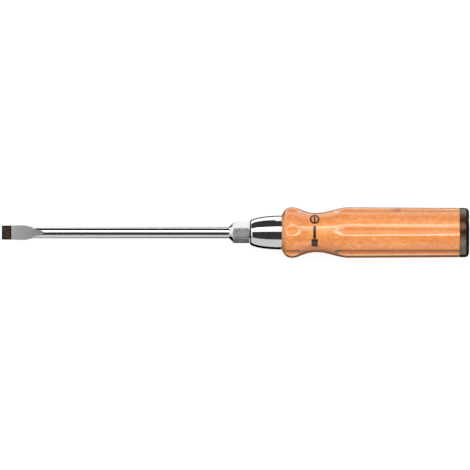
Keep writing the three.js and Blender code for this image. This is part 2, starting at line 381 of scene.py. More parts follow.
def hexagon_rings(angles):
    """A hexagon turned down to a cone in front, with a fillet between the cone and the shank."""
    fillet_centre = (FILLET_AT, SHANK_RADIUS + HEXAGON_FILLET)
    edge_start = (HEXAGON_BACK - HEXAGON_EDGE, HEXAGON_CORNER)
    limits = rounding(fillet_centre, HEXAGON_FILLET, -90, -45, 6)[1:]
    limits += straight(limits[-1], (HEXAGON_FRONT, HEXAGON_CORNER), 36)[1:]
    limits += straight((HEXAGON_FRONT + HEXAGON_EDGE, HEXAGON_CORNER), edge_start, 8)
    limits += straight(edge_start, (HEXAGON_BACK, HEXAGON_CORNER - HEXAGON_EDGE), 3)[1:]
    rings = []
    for x, limit in limits:
        ring = []
        for angle in angles:
            radius = soft_min(hexagon_radius(angle, HEXAGON_FLATS), limit, 0.08)
            ring.append(polar(x, radius, angle))
        rings.append(ring)
    return rings


def tang_rings(angles):
    """The hexagonal tang, its round neck and the head riveted over in the striking plate."""
    tang_end = PLATE_FRONT - GAP
    rings = []
    for x in (HEXAGON_BACK, HEXAGON_BACK + 0.01, tang_end - 0.4):
        rings.append([polar(x, hexagon_radius(a, TANG_FLATS), a) for a in angles])
    neck_and_head = [
        (tang_end, TANG_NECK_RADIUS + 0.3),
        (tang_end, TANG_NECK_RADIUS),
        (PLATE_BACK - TANG_HEAD_LENGTH, TANG_NECK_RADIUS),
        (PLATE_BACK - 0.2, TANG_HEAD_RADIUS),
        (PLATE_BACK, TANG_HEAD_RADIUS - 0.3),
    ]
    for x, radius in neck_and_head:
        rings.append([polar(x, radius, angle) for angle in angles])
    return rings


def blade_rings():
    angles = hexagon_angles()
    tip = tip_rings()
    shank_start = tip[-1][0].x + 1
    shank = shank_rings(ring_angles(tip[-1]), angles, shank_start, FILLET_AT, 48)
    return tip + shank + hexagon_rings(angles) + tang_rings(angles)


def assign_blade_zones(mesh):
    """Plating all over, then the blackened end, the ground faces and the hexagon's flats."""
    plated, blackened, ground, satin = range(4)
    flats_start = HEXAGON_FRONT - 1.2
    for polygon in mesh.polygons:
        x = polygon.center.x
        s = x - TIP_END
        lean = abs(polygon.normal.x)
        on_face = abs(polygon.center.z) > tip_half_thickness(s) - 0.03 and lean > 0.06
        zone = plated
        if s < BLACKENED_LENGTH:
            zone = blackened
        elif s < SLANT_END or (s < FACES_END and on_face):
            zone = ground
        elif flats_start < x < HEXAGON_BACK and lean < 0.3:
            zone = satin
        polygon.material_index = zone


def make_blade(plated, blackened, ground, satin):
    name = "screwdriver_blade"
    mesh = ring_mesh(name, blade_rings())
    assign_blade_zones(mesh)
    materials = [plated, blackened, ground, satin]
    finish_piece(name, mesh, materials, "blade", 25, BLADE_ROLL)


# ---- Ferrule ----


def bullet_side(inset, steps):
    """The ferrule's side, or a line at an even distance inside it."""
    front = FERRULE_FRONT + FERRULE_EDGE_LENGTH
    pull_x, pull_radius = FERRULE_FRONT_PULL
    return bezier(
        (front, FERRULE_EDGE_RADIUS - inset),
        (front + pull_x, FERRULE_EDGE_RADIUS + pull_radius - inset),
        (front + FERRULE_REAR_PULL, FERRULE_REAR_RADIUS - inset),
        (-FACE_GAP, FERRULE_REAR_RADIUS - inset),
        steps,
    )


def ferrule_edge():
    """The rounded edge between the ferrule's front face and its side."""
    start = (FERRULE_FRONT, FERRULE_FACE_RADIUS)
    corner = (FERRULE_FRONT, FERRULE_FACE_RADIUS + 1)
    end = (FERRULE_FRONT + FERRULE_EDGE_LENGTH, FERRULE_EDGE_RADIUS)
    pulls = []
    for point in (start, end):
        pulls.append(tuple(p + (c - p) * 2 / 3 for p, c in zip(point, corner)))
    return bezier(start, *pulls, end, 10)


def make_ferrule(plated):
    floor = FERRULE_FRONT + FERRULE_WALL
    inside = [point for point in bullet_side(FERRULE_WALL, 24) if point[0] > floor]
    outside = bullet_side(0, 36)[1:]
    rim_x, rim_radius = outside[-1]
    profile = [(FERRULE_FRONT + 0.2, TANG_HOLE), (FERRULE_FRONT, TANG_HOLE + 0.2)]
    profile += ferrule_edge() + outside[:-1]
    profile += [(rim_x - 0.12, rim_radius), (rim_x, rim_radius - 0.12)]
    profile += inside[::-1] + [(floor, FERRULE_FACE_RADIUS), (floor, TANG_HOLE)]
    mesh = ring_mesh("ferrule_cup", turned_rings(profile, 160), closed_loop=True)
    finish_piece("ferrule_cup", mesh, [plated], "ferrule")


# ---- Handle ----


def handle_angles():
    """Angles round the handle, closer together in and beside each flute."""
    zone = math.radians(13)
    ridge = FLUTE_PITCH - 2 * zone
    angles = []
    for flute in range(FLUTE_COUNT):
        centre = FLUTE_PITCH * flute
        angles += [centre - zone + 2 * zone * i / 48 for i in range(48)]
        angles += [centre + zone + ridge * i / 18 for i in range(18)]
    return angles


def flute_radius(angle):
    """How far out a flute's surface lies at an angle, or None where no flute reaches."""
    from_flute = (angle + FLUTE_PITCH / 2) % FLUTE_PITCH - FLUTE_PITCH / 2
    centre = FLUTE_FLOOR + FLUTE_CUTTER_RADIUS
    across = centre * math.sin(from_flute)
    if abs(across) >= FLUTE_CUTTER_RADIUS:
        return None
    return centre * math.cos(from_flute) - math.sqrt(FLUTE_CUTTER_RADIUS**2 - across**2)


def handle_profile():
    """The turned wood: a bulge, a waist and a grip, joined by three curves."""
    bulge = bezier(
        (0, WOOD_SHOULDER_RADIUS),
        (1.6, WOOD_SHOULDER_RADIUS + 3.2),
        (3.2, BULGE_RADIUS),
        (BULGE_START, BULGE_RADIUS),
        26,
    )
    to_waist = bezier(
        (BULGE_END, BULGE_RADIUS),
        (12.2, BULGE_RADIUS),
        (15.5, WAIST_RADIUS),
        (WAIST, WAIST_RADIUS),
        36,
    )
    to_grip = bezier(
        (WAIST, WAIST_RADIUS),
        (32.5, WAIST_RADIUS),
        (39, GRIP_RADIUS),
        (GRIP_START, GRIP_RADIUS),
        48,
    )
    rear = (HANDLE_BACK - REAR_ROUNDING, GRIP_REAR_RADIUS)
    grip = straight((GRIP_START, GRIP_RADIUS), rear, 46)
    centre = (rear[0], GRIP_REAR_RADIUS - REAR_ROUNDING)
    return bulge + to_waist + to_grip[1:] + grip[1:] + rounding(centre, REAR_ROUNDING, 90, 0, 5)[1:]


def sanding(x, angle):
    """How much wood hand sanding has taken off, up to a tenth of a millimetre."""
    place = Vector((x * 0.05, math.sin(angle) * 1.7, math.cos(angle) * 1.7))
    return 0.05 - 0.05 * noise.noise(place)


def handle_rings():
    angles = handle_angles()
    nose_inset = FERRULE_WALL + GAP
    nose = [p for p in bullet_side(nose_inset, 14) if p[0] > NOSE_FRONT + 0.1]
    seat = PLATE_RADIUS + GAP
    seat_floor = PLATE_FRONT - FACE_GAP
    front = [(NOSE_FRONT, TANG_HOLE), (NOSE_FRONT, FERRULE_FACE_RADIUS - GAP)]
    front += nose + [(0, FERRULE_REAR_RADIUS - nose_inset)]
    rings = [[polar(x, radius, angle) for angle in angles] for x, radius in front]
    for x, radius in handle_profile():
        ring = []
        for angle in angles:
            flute = flute_radius(angle)
            r = radius if flute is None else soft_min(radius, flute, FLUTE_SOFTNESS)
            ring.append(polar(x, r - sanding(x, angle), angle))
        rings.append(ring)
    back = [
        (HANDLE_BACK, seat + 0.2),
        (HANDLE_BACK - 0.2, seat),
        (seat_floor, seat),
        (seat_floor, TANG_HOLE + 0.2),
        (seat_floor - 0.2, TANG_HOLE),
    ]
    rings += [[polar(x, radius, angle) for angle in angles] for x, radius in back]
    return rings


def mark_flutes(mesh):
    """Stores how far each point is down a flute, and how near it is to a flute's edge."""
    full_depth = 1.2
    edge_width = 0.45
    profile = handle_profile()
    depth = mesh.attributes.new("flute_depth", "FLOAT", "POINT")
    edge = mesh.attributes.new("flute_edge", "FLOAT", "POINT")
    for index, vertex in enumerate(mesh.vertices):
        x, y, z = vertex.co
        if not 0 <= x <= HANDLE_BACK:
            continue
        flute = flute_radius(math.atan2(y, z))
        if flute is None:
            continue
        below = radius_at(profile, x) - flute
        depth.data[index].value = min(max(below / full_depth, 0), 1)
        edge.data[index].value = math.exp(-((below / edge_width) ** 2))


def radius_at(profile, x):
    """A profile's radius at a place between its points."""
    for (x0, r0), (x1, r1) in zip(profile, profile[1:]):
        if x0 <= x <= x1 and x1 > x0:
            return r0 + (r1 - r0) * (x - x0) / (x1 - x0)
    return profile[-1][1]


def make_handle(wood):
    mesh = ring_mesh("fluted_handle", handle_rings(), closed_loop=True)
    mark_flutes(mesh)
    finish_piece("fluted_handle", mesh, [wood], "handle", 50)


# ---- Striking end ----


def nail_angles():
    first = math.pi / FLUTE_COUNT
    return [first + 2 * math.pi * i / NAIL_COUNT for i in range(NAIL_COUNT)]


def nail_dimple(point):
    """How far a nail pulls the leather in at a point of the cap's end face."""
    depth = 0
    for angle in nail_angles():
        nail = polar(point.x, NAIL_CIRCLE, angle)
        away = (point - nail).length / NAIL_HEAD_RADIUS
        depth += NAIL_DEPTH * math.exp(-max(away - 0.9, 0) ** 2 * 3.5)
    return depth


def cap_profile():
    """A disc with a small front edge, slightly barrelled sides and a well rounded rear edge."""
    centre = (CAP_BACK - CAP_ROUNDING, CAP_RADIUS - CAP_ROUNDING - CAP_BARREL)
    profile = [(CAP_FRONT, 0.4)] + straight((CAP_FRONT, 4), (CAP_FRONT, CAP_RADIUS - 0.25), 4)
    profile += [(CAP_FRONT + 0.08, CAP_RADIUS - 0.08), (CAP_FRONT + 0.3, CAP_RADIUS)]
    side_end = (centre[0], CAP_RADIUS - CAP_BARREL)
    side = bezier(
        (CAP_FRONT + 0.8, CAP_RADIUS), (CAP_FRONT + 2, CAP_RADIUS), side_end, side_end, 8
    )
    profile += side + rounding(centre, CAP_ROUNDING, 84, 0, 14)
    return profile + straight((CAP_BACK, centre[1] - 0.3), (CAP_BACK, 0.4), 48)


def wear_leather(point):
    """Moves a point of the cap in by a little, unevenly, and further in beside the nails."""
    if point.x > CAP_BACK - 1:
        point.x -= nail_dimple(point)
    coarse = noise.noise(point * 0.35)
    fine = noise.noise(point * 1.9)
    outwards = Vector((0, point.y, point.z)).normalized()
    point -= outwards * (0.04 + 0.04 * coarse + 0.02 * fine)
    if point.x > CAP_FRONT + 0.5:
        point.x -= 0.05 + 0.05 * coarse + 0.02 * fine


def make_leather_cap(leather):
    name = "leather_striking_cap"
    rings = turned_rings(cap_profile(), 300)
    for ring in rings:
        for point in ring:
            wear_leather(point)
    mesh = ring_mesh(name, rings)
    finish_piece(name, mesh, [leather], "leather_cap")


def make_striking_plate(steel):
    hole = TANG_NECK_RADIUS + GAP
    profile = [
        (PLATE_FRONT, hole + 0.2),
        (PLATE_FRONT, PLATE_RADIUS - 0.3),
        (PLATE_FRONT + 0.3, PLATE_RADIUS),
        (PLATE_BACK - 0.3, PLATE_RADIUS),
        (PLATE_BACK, PLATE_RADIUS - 0.3),
        (PLATE_BACK, TANG_HEAD_RADIUS + GAP),
        (PLATE_BACK - TANG_HEAD_LENGTH, hole),
        (PLATE_FRONT + 0.2, hole),
    ]
    name = "steel_striking_plate"
    mesh = ring_mesh(name, turned_rings(profile, 96), closed_loop=True)
    finish_piece(name, mesh, [steel], "striking_plate")


def make_nail(number, angle, brass):
    """A pointed nail with a slightly domed head, sunk into the leather."""
    node = f"cap_nail_{number}"
    low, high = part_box(node)
    point = along(low.x)
    back = along(high.x) - 0.05
    profile = [(point, 0.05), (point + 2, NAIL_SHANK_RADIUS)]
    profile += [(back - 0.7, NAIL_SHANK_RADIUS), (back - 0.66, 1.5)]
    profile += [(back - 0.58, 1.68), (back - 0.5, NAIL_HEAD_RADIUS)]
    dome = [(0.32, 1.6), (0.2, 1.35), (0.1, 1.0), (0.03, 0.55), (0, 0.1)]
    profile += [(back - drop, radius) for drop, radius in dome]
    rings = turned_rings(profile, 40)
    centre = polar(0, NAIL_CIRCLE, angle)
    rings = [[vertex + centre for vertex in ring] for ring in rings]
    name = f"leather_nail_{number}"
    finish_piece(name, ring_mesh(name, rings), [brass], node, 50)


# ---- Materials ----


class Shader:
    """A material's node tree, with short ways to add what the materials here use."""

    def __init__(self, name):
        self.material = bpy.data.materials.new(name)
        self.material.use_nodes = True
        self.tree = self.material.node_tree
        self.surface = self.tree.nodes["Principled BSDF"]

    def add(self, kind, inputs=None, **settings):
        node = self.tree.nodes.new(kind)
        for key, value in settings.items():
            setattr(node, key, value)
        for key, value in (inputs or {}).items():
            self.feed(node.inputs[key], value)
        return node

    def feed(self, socket, value):
        """Links a socket to another node's output, or sets it to a plain value."""
        if isinstance(value, bpy.types.NodeSocket):
            self.tree.links.new(value, socket)
        else:
            socket.default_value = value

    def set(self, **values):
        for name, value in values.items():
            self.feed(self.surface.inputs[name.replace("_", " ")], value)

    def position(self):
        """The surface point in metres, in the frame's own axes."""
        return self.add("ShaderNodeTexCoord").outputs["Object"]

    def axis(self, name):
        """One coordinate of the surface point."""
        split = self.add("ShaderNodeSeparateXYZ", {"Vector": self.position()})
        return split.outputs[name]

    def normal(self, name):
        """One coordinate of the surface's own direction, before any bump."""
        facing = self.add("ShaderNodeTexCoord").outputs["Normal"]
        return self.add("ShaderNodeSeparateXYZ", {"Vector": facing}).outputs[name]

    def attribute(self, name):
        """A number stored in the mesh."""
        return self.add("ShaderNodeAttribute", attribute_name=name).outputs["Fac"]

    def from_axis(self):
        """The surface point's distance from the tool's axis."""
        flat = self.stretched(self.position(), (0, 1, 1), (0, 0, -AXIS_HEIGHT))
        return self.add("ShaderNodeVectorMath", {0: flat}, operation="LENGTH").outputs["Value"]

    def near(self, centre, size, ragged):
        """1 at a place, fading to 0 this far from it, with a ragged edge. Sizes in millimetres."""
        gap = self.add("ShaderNodeVectorMath", {0: self.position()}, operation="DISTANCE")
        gap.inputs[1].default_value = centre
        torn = self.noise(self.stretched(self.position(), (700, 700, 700)), detail=3)
        shift = self.math("MULTIPLY", self.math("SUBTRACT", torn, 0.5), ragged * MM)
        reach = self.math("ADD", gap.outputs["Value"], shift)
        return self.between(reach, size * MM, 0.45 * size * MM)

    def stretched(self, vector, scale, offset=(0, 0, 0)):
        """A vector scaled along each axis, then moved."""
        node = self.add("ShaderNodeMapping", {"Vector": vector, "Scale": scale})
        node.inputs["Location"].default_value = offset
        return node.outputs["Vector"]

    def noise(self, vector, detail, roughness=0.5):
        inputs = {"Vector": vector, "Scale": 1.0, "Detail": detail, "Roughness": roughness}
        return self.add("ShaderNodeTexNoise", inputs).outputs["Fac"]

    def math(self, operation, a, b=0.0):
        node = self.add("ShaderNodeMath", operation=operation)
        self.feed(node.inputs[0], a)
        self.feed(node.inputs[1], b)
        return node.outputs[0]

    def between(self, value, low, high, to_low=0.0, to_high=1.0):
        """Maps a value from one range to another, smoothly and clamped."""
        node = self.add("ShaderNodeMapRange", interpolation_type="SMOOTHSTEP")
        for index, number in enumerate((value, low, high, to_low, to_high)):
            self.feed(node.inputs[index], number)
        return node.outputs[0]

    def blend(self, factor, a, b):
        """The first colour where the factor is 0, and the second where it is 1."""
        node = self.add("ShaderNodeMix", data_type="RGBA")
        self.feed(node.inputs[0], factor)
        self.feed(node.inputs[6], a)
        self.feed(node.inputs[7], b)
        return node.outputs[2]

    def bump(self, height, strength, distance):
        inputs = {"Height": height, "Strength": strength, "Distance": distance}
        self.set(Normal=self.add("ShaderNodeBump", inputs).outputs["Normal"])


def rgb(red, green, blue):
    """A display colour, 0 to 255, as the linear colour that a shader takes."""

    def linear(channel):
        share = channel / 255
        return share / 12.92 if share <= 0.04045 else ((share + 0.055) / 1.055) ** 2.4

    return (linear(red), linear(green), linear(blue), 1.0)


def in_frame(point):
    """A point in tool millimetres as a point of the frame, in metres."""
    return point * MM + Vector((SHOULDER, 0, AXIS_HEIGHT))


def ferrule_material():
    """Plating with a dark line round the front edge: partly painted shade, partly polish and dirt
    gathered there.
    """
    shader = Shader("plated_ferrule")
    plating = add_plating(shader, 0.05)
    dark, clear = (ferrule_low.x + reach * MM for reach in FERRULE_SHADE_AND_DIRT_LINE)
    # The dark line round the front edge: partly painted shade, partly dirt.
    line = shader.between(shader.axis("X"), clear, dark)
    shader.set(Base_Color=shader.blend(line, plating, rgb(30, 30, 31)))
    return shader.material


def plated_blade_material():
    shader = Shader("plated_blade")
    add_plating(shader, 0.07)
    return shader.material


def add_plating(shader, roughness):
    """Polished plating with faint cloudy wear and hair-fine polishing lines."""
    place = shader.position()
    cloud = shader.noise(shader.stretched(place, (90, 160, 160)), detail=4)
    lines = shader.noise(shader.stretched(place, (4000, 260, 260)), detail=2)
    dull = shader.between(cloud, 0.45, 0.75)
    mixed_share = shader.math("MULTIPLY", dull, 0.35)
    colour = shader.blend(mixed_share, rgb(199, 199, 201), rgb(176, 176, 178))
    shader.set(
        Base_Color=colour,
        Metallic=1.0,
        Roughness=shader.between(cloud, 0.3, 0.8, roughness, roughness + 0.07),
    )
    shader.bump(lines, 0.004, 0.02 * MM)
    return colour


def satin_steel_material(name, tone, roughness, line_scale, line_strength):
    """Steel with a ground or brushed surface, its lines short or long with the scale given."""
    shader = Shader(name)
    add_brushed_steel(shader, tone, roughness, line_scale, line_strength)
    return shader.material


def add_brushed_steel(shader, tone, roughness, line_scale, line_strength):
    """Fine lines and a faint cloud over a steel tone, in colour, roughness and relief."""
    place = shader.position()
    lines = shader.noise(shader.stretched(place, line_scale), detail=5, roughness=0.7)
    cloud = shader.noise(shader.stretched(place, (220, 300, 300)), detail=3)
    dark = shader.blend(0.5, tone, rgb(88, 88, 90))
    lined = shader.between(lines, 0.35, 0.75, 0, line_strength)
    colour = shader.blend(lined, tone, dark)
    clouded = shader.between(cloud, 0.4, 0.8, 0, 0.5 * line_strength)
    colour = shader.blend(clouded, colour, dark)
    shader.set(
        Base_Color=colour,
        Metallic=1.0,
        Roughness=shader.between(lines, 0.3, 0.7, roughness - 0.06, roughness + 0.08),
    )
    shader.bump(lines, 0.45 * line_strength, 0.03 * MM)


def ground_tip_material():
    """The ground faces: brightest beside the blackened end, duller towards the shank."""
    shader = Shader("ground_tip")
    start = blade_low.x + BLACKENED_LENGTH * MM
    x = shader.axis("X")
    fade = shader.between(x, start, blade_low.x + FACES_END * MM)
    line = shader.between(x, start + 0.8 * MM, start)
    tone = shader.blend(fade, rgb(184, 184, 186), rgb(152, 152, 154))
    tone = shader.blend(line, tone, rgb(216, 216, 216))
    add_brushed_steel(shader, tone, 0.4, (2600, 260, 260), 0.5)
    return shader.material


def blackened_material():
    """The blackened end of the tip: mottled brown-black, with a near-black border."""
    shader = Shader("blackened_tip")
    place = shader.position()
    mottle = shader.noise(shader.stretched(place, (420, 420, 420)), detail=5, roughness=0.65)
    patches = shader.noise(shader.stretched(place, (160, 200, 200)), detail=2)
    colour = shader.blend(shader.between(mottle, 0.3, 0.7), rgb(38, 24, 18), rgb(66, 46, 38))
    colour = shader.blend(shader.between(patches, 0.45, 0.7, 0, 0.6), colour, rgb(76, 44, 36))
    dark, clear = (width * MM for width in BLACKENED_BORDER)
    side = TIP_WIDTH / 2 * MM
    across = shader.math("ABSOLUTE", shader.axis("Y"))
    rim = shader.between(across, side - clear, side - dark)
    x = shader.axis("X")
    end = shader.between(x, blade_low.x + clear - 0.1 * MM, blade_low.x + dark)
    back = blade_low.x + BLACKENED_LENGTH * MM
    back_line = shader.between(x, back - clear, back - dark + 0.2 * MM)
    border = shader.math("MAXIMUM", rim, shader.math("MAXIMUM", end, back_line))
    colour = shader.blend(border, colour, rgb(10, 8, 8))
    shader.set(
        Base_Color=colour,
        Metallic=0.05,
        Specular_IOR_Level=0.1,
        Roughness=shader.between(mottle, 0.3, 0.7, 0.42, 0.6),
    )
    shader.bump(mottle, 0.3, 0.04 * MM)
    return shader.material


def printed_sign(shader):
    """A plain sign printed across the waist: a slotted screw head over a flat blade."""
    x = shader.math("SUBTRACT", shader.axis("X"), SHOULDER + SIGN_AT * MM)
    y = shader.axis("Y")

    def inside(value, low, high):
        """1 between two limits in millimetres, with soft edges."""
        start = shader.between(value, (low - SIGN_EDGE) * MM, (low + SIGN_EDGE) * MM)
        stop = shader.between(value, (high + SIGN_EDGE) * MM, (high - SIGN_EDGE) * MM)
        return shader.math("MULTIPLY", start, stop)

    def block(x_range, y_range):
        return shader.math("MULTIPLY", inside(x, *x_range), inside(y, *y_range))

    from_head = shader.math("SUBTRACT", y, SIGN_HEAD_Y * MM)
    squares = shader.math("ADD", shader.math("POWER", x, 2.0), shader.math("POWER", from_head, 2.0))
    ring_inside = SIGN_HEAD_RADIUS - SIGN_RING_WIDTH
    marks = inside(shader.math("SQRT", squares), ring_inside, SIGN_HEAD_RADIUS)
    slot = block(SIGN_SLOT, (SIGN_HEAD_Y - SIGN_HEAD_RADIUS, SIGN_HEAD_Y + SIGN_HEAD_RADIUS))
    for mark in (slot, block(SIGN_SHANK, SIGN_SHANK_Y), block(SIGN_BLADE, SIGN_BLADE_Y)):
        marks = shader.math("MAXIMUM", marks, mark)
    upper_side = shader.between(shader.normal("Z"), 0.1, 0.2)
    return shader.math("MULTIPLY", marks, upper_side)


def swayed(shader, place, drift):
    """A place shifted sideways by a slow drift, so that the grain isn't ruler straight."""
    amount = shader.between(drift, 0.0, 1.0, -1.2 * MM, 1.2 * MM)
    sway = shader.add("ShaderNodeCombineXYZ", {"Y": amount, "Z": amount}).outputs[0]
    return shader.add("ShaderNodeVectorMath", {0: place, 1: sway}, operation="ADD").outputs[0]


def beech_colour(shader, place, grain_place, grain, mottle):
    """Warm mottling, blushes and patches, then the rings, the fine grain and its flecks."""
    rings = shader.noise(shader.stretched(grain_place, (7, 230, 60)), detail=2)
    flecks = shader.noise(shader.stretched(grain_place, (330, 3600, 3600)), detail=1)
    blush = shader.noise(shader.stretched(place, (22, 60, 60), (5, 2, 1)), detail=2)
    patches = shader.noise(shader.stretched(place, (360, 420, 420)), detail=3, roughness=0.6)
    colour = shader.blend(
        shader.between(mottle, 0.32, 0.68), rgb(240, 146, 68), rgb(252, 165, 86)
    )
    colour = shader.blend(shader.between(blush, 0.45, 0.7, 0, 0.55), colour, rgb(242, 151, 92))
    colour = shader.blend(shader.between(rings, 0.48, 0.66, 0, 0.3), colour, rgb(226, 127, 54))
    colour = shader.blend(shader.between(patches, 0.4, 0.64, 0, 0.5), colour, rgb(222, 128, 56))
    colour = shader.blend(shader.between(patches, 0.46, 0.3, 0, 0.5), colour, rgb(255, 184, 108))
    colour = shader.blend(shader.between(grain, 0.5, 0.76, 0, 0.5), colour, rgb(214, 118, 56))
    return shader.blend(shader.between(flecks, 0.62, 0.72, 0, 0.55), colour, rgb(170, 88, 42))


def with_blemish(shader, colour):
    place = in_frame(polar(BLEMISH_AT, BULGE_RADIUS, BLEMISH_ANGLE))
    marked = shader.math("MULTIPLY", shader.near(place, BLEMISH_SIZE, 2), 0.9)
    return shader.blend(marked, colour, rgb(150, 78, 34))


def with_flute_edges(shader, colour, mottle):
    """Flute edges on the upper side are painted pale, a painted highlight with some rubbing wear;
    surfaces facing -Y are darkened as painted shade, and flute edges there darker still, painted
    shade with some dirt.
    """
    level = shader.between(shader.math("ABSOLUTE", shader.normal("X")), 0.34, 0.12)
    edge = shader.math("MULTIPLY", shader.attribute("flute_edge"), level)
    upper_side = shader.between(shader.normal("Z"), 0.1, 0.5)
    # Pale flute edges on the upper side: a painted highlight, partly rubbing wear.
    wear_and_highlight = shader.math("MULTIPLY", edge, shader.between(mottle, 0.3, 0.6, 0.65, 0.9))
    colour = shader.blend(shader.math("MULTIPLY", wear_and_highlight, upper_side), colour, rgb(254, 206, 166))
    sideways = shader.normal("Y")
    # Wood facing -Y is darkened: painted shade.
    painted_side_shade = shader.between(sideways, -0.62, -0.9, 0, 0.55)
    colour = shader.blend(painted_side_shade, colour, rgb(158, 90, 54))
    # Flute edges facing -Y are darkened further: painted shade, partly dirt.
    dirt_and_shade = shader.math("MULTIPLY", edge, shader.between(sideways, -0.7, -0.86))
    return shader.blend(dirt_and_shade, colour, rgb(86, 38, 14))


def wood_material():
    """Beech under clear varnish, with a blemish and a printed sign; flutes darker with depth as
    painted shade, and flute edges with painted highlight and shade.
    """
    shader = Shader("varnished_beech")
    place = shader.position()
    drift = shader.noise(shader.stretched(place, (9, 30, 30)), detail=2)
    grain_place = swayed(shader, place, drift)
    grain = shader.noise(shader.stretched(grain_place, (70, 2100, 2100)), detail=4, roughness=0.6)
    mottle = shader.noise(shader.stretched(place, (34, 90, 90)), detail=3)
    depth = shader.attribute("flute_depth")

    colour = beech_colour(shader, place, grain_place, grain, mottle)
    colour = with_blemish(shader, colour)
    colour = with_flute_edges(shader, colour, mottle)
    # Darker deeper in the flutes: painted shade.
    colour = shader.blend(shader.between(depth, 0.35, 0.9, 0, 0.55), colour, rgb(222, 124, 56))
    print_wear = shader.between(grain, 0.4, 0.75, 1.0, 0.9)
    printed = shader.math("MULTIPLY", printed_sign(shader), print_wear)
    colour = shader.blend(printed, colour, rgb(6, 5, 5))
    varnish = shader.between(depth, 0.1, 0.9, 0.9, 0.3)
    shader.set(
        Base_Color=colour,
        Roughness=shader.between(grain, 0.3, 0.7, 0.42, 0.56),
        Coat_Weight=shader.math("MULTIPLY", varnish, shader.between(printed, 0, 1, 1, 0.3)),
        Coat_Roughness=0.12,
        Coat_IOR=1.5,
        Specular_IOR_Level=0.3,
    )
    relief = shader.math("ADD", shader.math("MULTIPLY", grain, 0.6), drift)
    shader.bump(relief, 0.16, 0.12 * MM)
    return shader.material


def leather_edges(shader):
    """1 on the cap's burnished rear rounding, and on its sides towards +Y and -Y, where the
    near-black is painted shade.
    """
    rounding_start = cap_high.x - CAP_ROUNDING * MM
    rear = shader.between(
        shader.axis("X"), rounding_start + 0.3 * MM, rounding_start + 0.9 * MM
    )
    end_face = (CAP_RADIUS - CAP_ROUNDING) * MM
    outer = shader.between(shader.from_axis(), end_face - 1.2 * MM, end_face - 0.2 * MM)
    burnished = shader.math("MULTIPLY", rear, outer)
    # The near-black along the sides towards +Y and -Y is painted shade.
    across = shader.math("ABSOLUTE", shader.axis("Y"))
    sides = shader.between(across, CAP_RADIUS * 0.9 * MM, CAP_RADIUS * 0.945 * MM)
    return shader.math("MAXIMUM", burnished, sides)


def leather_material():
    """Waxed sole leather: grey-brown, with pores, fibres, a dark patch painted as a reflection with
    a highlight spot painted in it, and near-black edges, those along the sides painted shade."""
    shader = Shader("waxed_leather")
    place = shader.position()
    cloud = shader.noise(shader.stretched(place, (130, 130, 130)), detail=4)
    pores = shader.add("ShaderNodeTexVoronoi", {"Vector": place, "Scale": 1900.0}).outputs[0]
    fibres = shader.noise(shader.stretched(place, (3000, 500, 500)), detail=4, roughness=0.65)
    colour = shader.blend(shader.between(cloud, 0.3, 0.7), rgb(106, 93, 82), rgb(142, 125, 112))
    # A dark patch on the upper side: a painted reflection of dark surroundings.
    dark_reflection_place = in_frame(polar((CAP_FRONT + CAP_BACK) / 2, CAP_RADIUS, DARK_REFLECTION_ANGLE))
    dark_reflection = shader.near(dark_reflection_place, DARK_REFLECTION_SIZE, 3)
    colour = shader.blend(dark_reflection, colour, rgb(60, 27, 7))
    # A pale spot in that patch: a painted highlight.
    highlight_spot_place = in_frame(polar(CAP_FRONT + HIGHLIGHT_SPOT_AT, CAP_RADIUS, HIGHLIGHT_SPOT_ANGLE))
    mixed_share = shader.near(highlight_spot_place, HIGHLIGHT_SPOT_SIZE, 2)
    colour = shader.blend(shader.math("MULTIPLY", mixed_share, 0.5), colour, rgb(150, 112, 96))
    colour = shader.blend(shader.between(fibres, 0.5, 0.8, 0, 0.4), colour, rgb(48, 34, 26))
    colour = shader.blend(leather_edges(shader), colour, rgb(9, 7, 6))
    shader.set(
        Base_Color=colour,
        Roughness=shader.between(cloud, 0.3, 0.7, 0.5, 0.66),
        Specular_IOR_Level=0.1,
    )
    relief = shader.math("ADD", shader.math("MULTIPLY", fibres, 0.7), pores)
    shader.bump(relief, 0.35, 0.12 * MM)
    return shader.material


def nail_material():
    """Brass gone dull in clouds."""
    shader = Shader("brass_nail")
    place = shader.position()
    cloud = shader.noise(shader.stretched(place, (900, 900, 900)), detail=4)
    colour = shader.blend(shader.between(cloud, 0.35, 0.7), rgb(190, 150, 78), rgb(122, 90, 42))
    shader.set(
        Base_Color=colour,
        Metallic=1.0,
        Roughness=shader.between(cloud, 0.3, 0.7, 0.22, 0.45),
    )
    shader.bump(cloud, 0.2, 0.03 * MM)
    return shader.material


# ---- Pieces ----

make_blade(
    plated_blade_material(),
    blackened_material(),
    ground_tip_material(),
    satin_steel_material("satin_hexagon", rgb(200, 200, 202), 0.3, (260, 260, 260), 0.04),
)
make_ferrule(ferrule_material())
make_handle(wood_material())
make_striking_plate(
    satin_steel_material("plate_steel", rgb(170, 170, 172), 0.4, (900, 900, 900), 0.5)
)
make_leather_cap(leather_material())
brass = nail_material()
for nail_number, nail_angle in enumerate(nail_angles(), 1):
    make_nail(nail_number, nail_angle, brass)

# ---- Studio ----

LENGTH = cad_bounds[1][0] - cad_bounds[0][0]
TOOL_CENTRE = Vector((0, 0, AXIS_HEIGHT))
TOOL_SHARE = 0.99404  # of the picture's width that the tool fills
AIM_SHIFT = Vector((-0.3, -1.72, 0)) * MM
WHITE = (1, 1, 1, 1)
JUST_OFF_FLOOR = 0.2 * MM
FLOOR_GLOW = 0.84
BOUNCE_GLOW = 0.16


def emission_material(name, strength):
    material = bpy.data.materials.new(name)
    material.use_nodes = True
    tree = material.node_tree
    tree.nodes.remove(tree.nodes["Principled BSDF"])
    glow = tree.nodes.new("ShaderNodeEmission")
    glow.inputs["Strength"].default_value = strength
    glow.inputs["Color"].default_value = WHITE
    tree.links.new(glow.outputs[0], tree.nodes["Material Output"].inputs[0])
    return material


